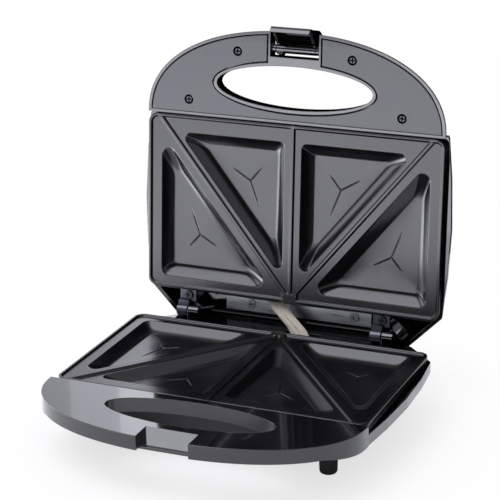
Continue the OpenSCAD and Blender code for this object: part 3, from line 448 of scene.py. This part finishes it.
def plate_points():
    """Points of the plate's upper side with their heights, and the lines that its facets keep to.

    A height is a number, "floor" for a pocket's floor, or None for the plate outside its pockets.
    """
    points, heights, lines = [], [], []

    def add_line(made, height, closed, hand=1):
        made = [Vector((p.x * hand, p.y)) for p in made]
        first = len(points)
        points.extend(made)
        heights.extend([height] * len(made))
        lines.extend((first + i, first + i + 1) for i in range(len(made) - 1))
        if closed:
            lines.append((first + len(made) - 1, first))

    half_w, half_d = PLATE_W / 2, PLATE_D / 2
    box = [(-half_w, -half_d), (half_w, -half_d), (half_w, half_d), (-half_w, half_d)]
    for inset in RIM_STEPS:
        add_line(split_loop(round_outline(box, inset, PLATE_R - inset, 10), 5), None, True)
    for hand in (1, -1):
        for offset in both_hands(RIB_STEPS):
            start = Vector(RIB_FRONT) + rib_across * offset - rib_way * 0.5
            end = Vector(RIB_BACK) + rib_across * offset
            add_line(split_line(start, end, 4), None, False, hand)
        for corners, radius, marks in ((inner_corners, INNER_R, inner_marks), (outer_corners, OUTER_R, outer_marks)):
            for grow in (0.3, 1.0):
                add_line(split_loop(round_outline(corners, -grow, radius + grow, 7), 4), None, True, hand)
            for k in range(WALL_STEPS + 1):
                t = (k / WALL_STEPS) ** 1.2
                ring = round_outline(corners, POCKET_RUN * t, radius * (1 - 0.45 * t), 7)
                add_line(split_loop(ring, 4), FLANGE_Z - POCKET_DEEP * wall_fall(t), True, hand)
            for a, b in marks:
                add_line(split_line(a, b, 1.2), "floor", False, hand)
            for gap in (0.2, 0.4, 0.6, 0.9, 1.5):
                outline = star_outline(marks[0][0], [end for _, end in marks], gap)
                add_line(split_loop(outline, 1.5), "floor", True, hand)
    for offset in both_hands(RIB_STEPS):
        add_line(split_line((offset, -61.5), (offset, 61.5), 4), None, False)
    for grow in (0, 0.5, 1.0, 1.45):
        add_line(split_loop(round_outline(pad_corners, -grow, 0.3 + grow, 3), 3), None, True)
    return points, heights, lines


points, heights, lines = plate_points()
flat, _, facets, sources, _, _ = delaunay_2d_cdt(points, lines, [], 0, 1e-4)
tops = []
for p, origin in zip(flat, sources):
    given = [heights[i] for i in origin]
    numbers = [height for height in given if isinstance(height, float)]
    if numbers:
        tops.append(min(numbers))
    elif "floor" in given:
        tops.append(floor_height(p))
    else:
        tops.append(flange_height(p))
SKIRT = 2.4                # the plate's outer edge reaches down to FLANK_Z over this width
unders = [FLANK_Z if edge_distance(p) < SKIRT else min(z, FLANGE_Z) - WALL for p, z in zip(flat, tops)]


def lower_place(x, y, z):
    """A point of the base, given from the plate's centre on the closing line, in millimetres."""
    return Vector((x * MM, y * MM + SHIFT, z * MM + PARTING))


def lid_place(x, y, z):
    """The same for the lid, where the closed lid's upward direction is z."""
    dy = y - HINGE_Y
    return lower_place(x, HINGE_Y + dy * math.cos(LID_TURN) + z * math.sin(LID_TURN),
                       z * math.cos(LID_TURN) - dy * math.sin(LID_TURN))


def new_piece(name, vertices, faces, material, body):
    """A piece from its points and faces, riding on a body if one is given."""
    mesh = bpy.data.meshes.new(name)
    mesh.from_pydata([tuple(v) for v in vertices], [], faces)
    mesh.validate()
    mesh.polygons.foreach_set("use_smooth", [True] * len(mesh.polygons))
    mesh.materials.append(material)
    made = bpy.data.objects.new(name, mesh)
    bpy.context.scene.collection.objects.link(made)
    if body:
        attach(made, body)
    return made


count = len(flat)
edges = {(face[i], face[(i + 1) % len(face)]) for face in facets for i in range(len(face))}
outer_edges = [(a, b) for a, b in edges if (b, a) not in edges]
plate_faces = ([tuple(f) for f in facets] + [tuple(count + i for i in reversed(f)) for f in facets]
               + [(b, a, count + a, count + b) for a, b in outer_edges])

coated_aluminium, tree = new_material("nonstick_coated_cast_aluminium")
where = object_place(tree)
cloud, speck = noise(tree, where, 30, 4), noise(tree, where, 0.5)
skin(tree, Base_Color=two_tone(tree, cloud, ("#050506", "#080809")), Roughness=spread(tree, speck, 0.16, 0.26),
     IOR=1.6, Normal=relief(tree, speck, 0.06))

lower_plate = new_piece("lower_cooking_plate",
                        [lower_place(p.x, p.y, z) for p, z in zip(flat, tops)]
                        + [lower_place(p.x, p.y, z) for p, z in zip(flat, unders)],
                        plate_faces, coated_aluminium, "base")
upper_plate = new_piece("upper_cooking_plate",
                        [lid_place(p.x, p.y, -z) for p, z in zip(flat, tops)]
                        + [lid_place(p.x, p.y, -z) for p, z in zip(flat, unders)],
                        [tuple(reversed(f)) for f in plate_faces], coated_aluminium, "lid")
for piece, stood_for in ((lower_plate, "lower_plate"), (upper_plate, "upper_plate")):
    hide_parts(stood_for)

# Bottom cover, feet and lead bush
# The cover is black polypropylene with a fine spark-eroded grain, screwed from below.
# Feet and bush are moulded rubber, which stays dull and a little dusty.

grained_pp = plastic("grained_black_polypropylene", ("#18181a", "#1d1d1f"), 0.45, 0.0, 0.5, 0.6, 0.25)
moulded_rubber = plastic("moulded_black_rubber", ("#0c0c0c", "#121212"), 0.6, 0.0, 0.5, 0.8, 0.3)
finish_nodes(grained_pp, "base_cover")
finish_nodes(moulded_rubber, "foot_front_left", "foot_front_right", "foot_rear_left", "foot_rear_right", "cord_bushing")

# Handle cover of the lid
# A separate black ABS moulding, satin where the shell is polished, held by four screws. Its dark grey base colour is
# painted sheen, standing in for strong light on the black satin.

satin_abs_with_painted_sheen = plastic("satin_black_abs_with_painted_sheen", ("#404044", "#48484c"), 0.3, 0.25, 0.4, 0.4, 0.05)
finish_nodes(satin_abs_with_painted_sheen, "lid_handle_cover")

# Heating parts
# Bright rolled aluminium shields, tube heaters in a heat-tinted steel sheath and
# unglazed ceramic bushes and terminal block, hidden behind the plates when assembled.


def scaled(tree, colour, share):
    """A colour made darker by a share from 0 to 1."""
    return add_node(tree, "ShaderNodeVectorMath", {0: colour, "Scale": share}, operation="SCALE").outputs[0]


def metal(name, colours, rough, streak_mm, stretch=(1, 1, 1), whole=1.0, painted_shade=None):
    """Bare or plated metal with fine streaks in its polish, with painted shade in seams and recesses, darkened further
    where a painted shade share is given.
    """
    made, tree = new_material(name)
    drawn = add_node(tree, "ShaderNodeVectorMath", {0: object_place(tree), 1: stretch}, operation="MULTIPLY")
    streak = noise(tree, drawn.outputs[0], streak_mm, 4)
    tone = scaled(tree, two_tone(tree, streak, colours), gap_shade(tree))
    if painted_shade:
        tone = scaled(tree, tone, painted_shade(tree))
    round_edge = add_node(tree, "ShaderNodeBevel", {"Radius": 0.25 * MM}, samples=4).outputs[0]
    skin(tree, Base_Color=tone, Metallic=whole, Roughness=spread(tree, streak, rough * 0.7, rough * 1.3),
         Normal=relief(tree, streak, 0.1, normal=round_edge))
    return made


rolled_aluminium = metal("rolled_bright_aluminium", ("#b9bcc0", "#dcdee0"), 0.3, 1.5, (0.1, 1, 1))
tinted_steel = metal("heat_tinted_steel_sheath", ("#6b6257", "#8a8078"), 0.4, 2)
ceramic = plastic("unglazed_ceramic", ("#e4dfd2", "#efeadd"), 0.7, 0.0, 0.3, 0.5, 0.2)
finish_nodes(rolled_aluminium, "lower_heat_shield", "upper_heat_shield")
finish_nodes(tinted_steel, "lower_heating_element", "upper_heating_element", "thermostat")
finish_nodes(ceramic, "lower_element_terminals", "upper_element_terminals", "terminal_block")

# Hinges, pins and screws
# Pressed steel brackets and pins in dull zinc, cross-head screws in black zinc.

dull_zinc = metal("dull_zinc_plated_steel", ("#4a4c50", "#63666b"), 0.35, 1)
bright_zinc = metal("bright_zinc_plated_steel", ("#a9abae", "#c4c6c8"), 0.28, 1)
black_zinc = metal("black_zinc_plated_steel", ("#36363a", "#444448"), 0.3, 1, whole=0.8)
finish_nodes(dull_zinc, "hinge_bracket_left", "hinge_bracket_right", "hinge_pin_left", "hinge_pin_right")
finish_nodes(bright_zinc, "lower_plate_screws", "upper_plate_screws", "upper_shield_screws")
finish_nodes(black_zinc, "latch_pin", "base_cover_screws", "hinge_screw_left", "hinge_screw_right")

# The heads in the handle cover: grey on top, with painted shade that makes the cross and the rounded rim black
HEAD_RIM, CROSS_REACH, CROSS_HALF = 1.9 * MM, 1.5 * MM, 0.42 * MM
RIM_FADE, CROSS_FADE = 0.3 * MM, 0.15 * MM
HEAD_GAP = 8 * MM          # points of one screw are closer together than this from left to right
lid_back = Vector((0, math.cos(LID_TURN), -math.sin(LID_TURN)))
head_points = []
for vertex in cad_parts["lid_handle_screws"].data.vertices:
    near = next((held for held in head_points if abs(held[0].x - vertex.co.x) < HEAD_GAP), None)
    if near:
        near.append(vertex.co.copy())
    else:
        head_points.append([vertex.co.copy()])


def middle_of(values):
    """Half way between the lowest and the highest value."""
    values = list(values)
    return (max(values) + min(values)) / 2


def past(tree, value, limit, fade):
    """0 up to a limit and 1 beyond it, with a short fade."""
    return add_node(tree, "ShaderNodeMapRange", {
        "Value": value, "From Min": limit, "From Max": limit + fade}).outputs[0]


def painted_head_shade(tree):
    """1 on the tops of the screw heads, and 0 in the cross and down the rounded rim, where shade is painted."""
    where = object_place(tree)
    x = add_node(tree, "ShaderNodeSeparateXYZ", {0: where}).outputs[0]
    along = add_node(tree, "ShaderNodeVectorMath", {0: where, 1: tuple(lid_back)}, operation="DOT_PRODUCT")
    clear_of_shade = 0
    for held in head_points:
        across = calc(tree, "SUBTRACT", x, middle_of(v.x for v in held))
        rise = calc(tree, "SUBTRACT", along.outputs["Value"], middle_of(v.dot(lid_back) for v in held))
        flat_place = add_node(tree, "ShaderNodeCombineXYZ", {0: across, 1: rise}).outputs[0]
        radius = add_node(tree, "ShaderNodeVectorMath", {0: flat_place}, operation="LENGTH").outputs["Value"]
        arms = calc(tree, "MINIMUM", calc(tree, "ABSOLUTE", across), calc(tree, "ABSOLUTE", rise))
        top = calc(tree, "SUBTRACT", 1, past(tree, radius, HEAD_RIM, RIM_FADE))
        outside_cross = calc(tree, "MAXIMUM", past(tree, arms, CROSS_HALF, CROSS_FADE),
                             past(tree, radius, CROSS_REACH, CROSS_FADE))
        clear_of_shade = calc(tree, "MULTIPLY_ADD", top, outside_cross, clear_of_shade)
    return clear_of_shade


# Black zinc whose heads get painted shade in the cross and down the rim
head_shaded_zinc = metal("black_zinc_plated_steel_with_painted_head_shade", ("#48484c", "#56565a"), 0.3, 1, painted_shade=painted_head_shade)
finish_nodes(head_shaded_zinc, "lid_handle_screws")

# Pilot lamps
# Two small lenses of dyed polycarbonate, unlit, in the crown of the lid.

for lamp_name, colours in (("power", ("#a3150f", "#d86a50")), ("ready", ("#1c7a2b", "#54b060"))):
    tinted, tree = new_material("dyed_polycarbonate_" + lamp_name)
    cloud = noise(tree, object_place(tree), 3)
    skin(tree, Base_Color=two_tone(tree, cloud, colours), Roughness=0.12, IOR=1.58, Transmission_Weight=0.25)
    finish_nodes(tinted, lamp_name + "_lamp_lens")

# Wire sleeve
# A flat sleeve of braided glass fibre over the two leads that cross to the lid.
# It leaves the base beside the right hinge half and slips behind the upper plate.

# Route in millimetres from the plate's centre on the closing line
SLEEVE_PATH = ((12, 71.6, -19), (11.5, 74.5, -14), (10.5, 77.1, -9), (7, 79.8, -4), (1, 82, 1), (-6, 84.8, 6),
               (-11.5, 88.2, 10.5), (-14.8, 91.2, 13.4), (-17, 93.2, 16), (-18, 94.1, 19))
SLEEVE_W, SLEEVE_T = 14, 4
LOBE_EDGE, LOBE_LOW = 0.98, 0.62
BRAID_HIGH, BRAID_TURNS, BRAID_PITCH = 0.16, 14, 0.9


def curve_point(path, t):
    """Point on the smooth curve through a path, t from 0 to 1."""
    spot = t * (len(path) - 1)
    i = min(int(spot), len(path) - 2)
    f = spot - i
    p = [Vector(path[max(0, min(len(path) - 1, k))]) for k in (i - 1, i, i + 1, i + 2)]
    return 0.5 * (2 * p[1] + (p[2] - p[0]) * f + (2 * p[0] - 5 * p[1] + 4 * p[2] - p[3]) * f * f
                  + (3 * p[1] - p[0] - 3 * p[2] + p[3]) * f ** 3)


ROUND, LONG = 64, 120
sleeve_points, sleeve_faces = [], []
for k in range(LONG + 1):
    middle = curve_point(SLEEVE_PATH, k / LONG)
    for i in range(ROUND):
        a = math.tau * i / ROUND
        across = math.cos(a)
        lobes = LOBE_LOW
        if abs(across) < LOBE_EDGE:
            lobes += (1 - LOBE_LOW) * abs(math.sin(math.pi * across * LOBE_EDGE)) ** 0.6
        ways = (math.sin(a * BRAID_TURNS + k * BRAID_PITCH * hand) for hand in (1, -1))
        thick = SLEEVE_T / 2 * lobes + BRAID_HIGH * math.prod(ways)
        sleeve_points.append(lower_place(middle.x + SLEEVE_W / 2 * across, middle.y + thick * math.sin(a), middle.z))
for k in range(LONG):
    for i in range(ROUND):
        j = (i + 1) % ROUND
        sleeve_faces.append((k * ROUND + i, k * ROUND + j, (k + 1) * ROUND + j, (k + 1) * ROUND + i))
sleeve_faces.append(tuple(reversed(range(ROUND))))
sleeve_faces.append(tuple(range(LONG * ROUND, (LONG + 1) * ROUND)))
glass_braid, tree = new_material("braided_glass_fibre")
yarn = noise(tree, object_place(tree), 0.9, 3)
skin(tree, Base_Color=two_tone(tree, yarn, ("#8d8172", "#d8cebf")), Roughness=0.55, Sheen_Weight=0.3,
     Normal=relief(tree, yarn, 0.4, deep_mm=0.3))
sleeve = new_piece("braided_wire_sleeve", sleeve_points, sleeve_faces, glass_braid, None)
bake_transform(sleeve)
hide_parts("wire_sleeve")

size = {"cad": [list(map(float, c)) for c in cad_box], "visual": [list(map(float, c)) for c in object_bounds()]}
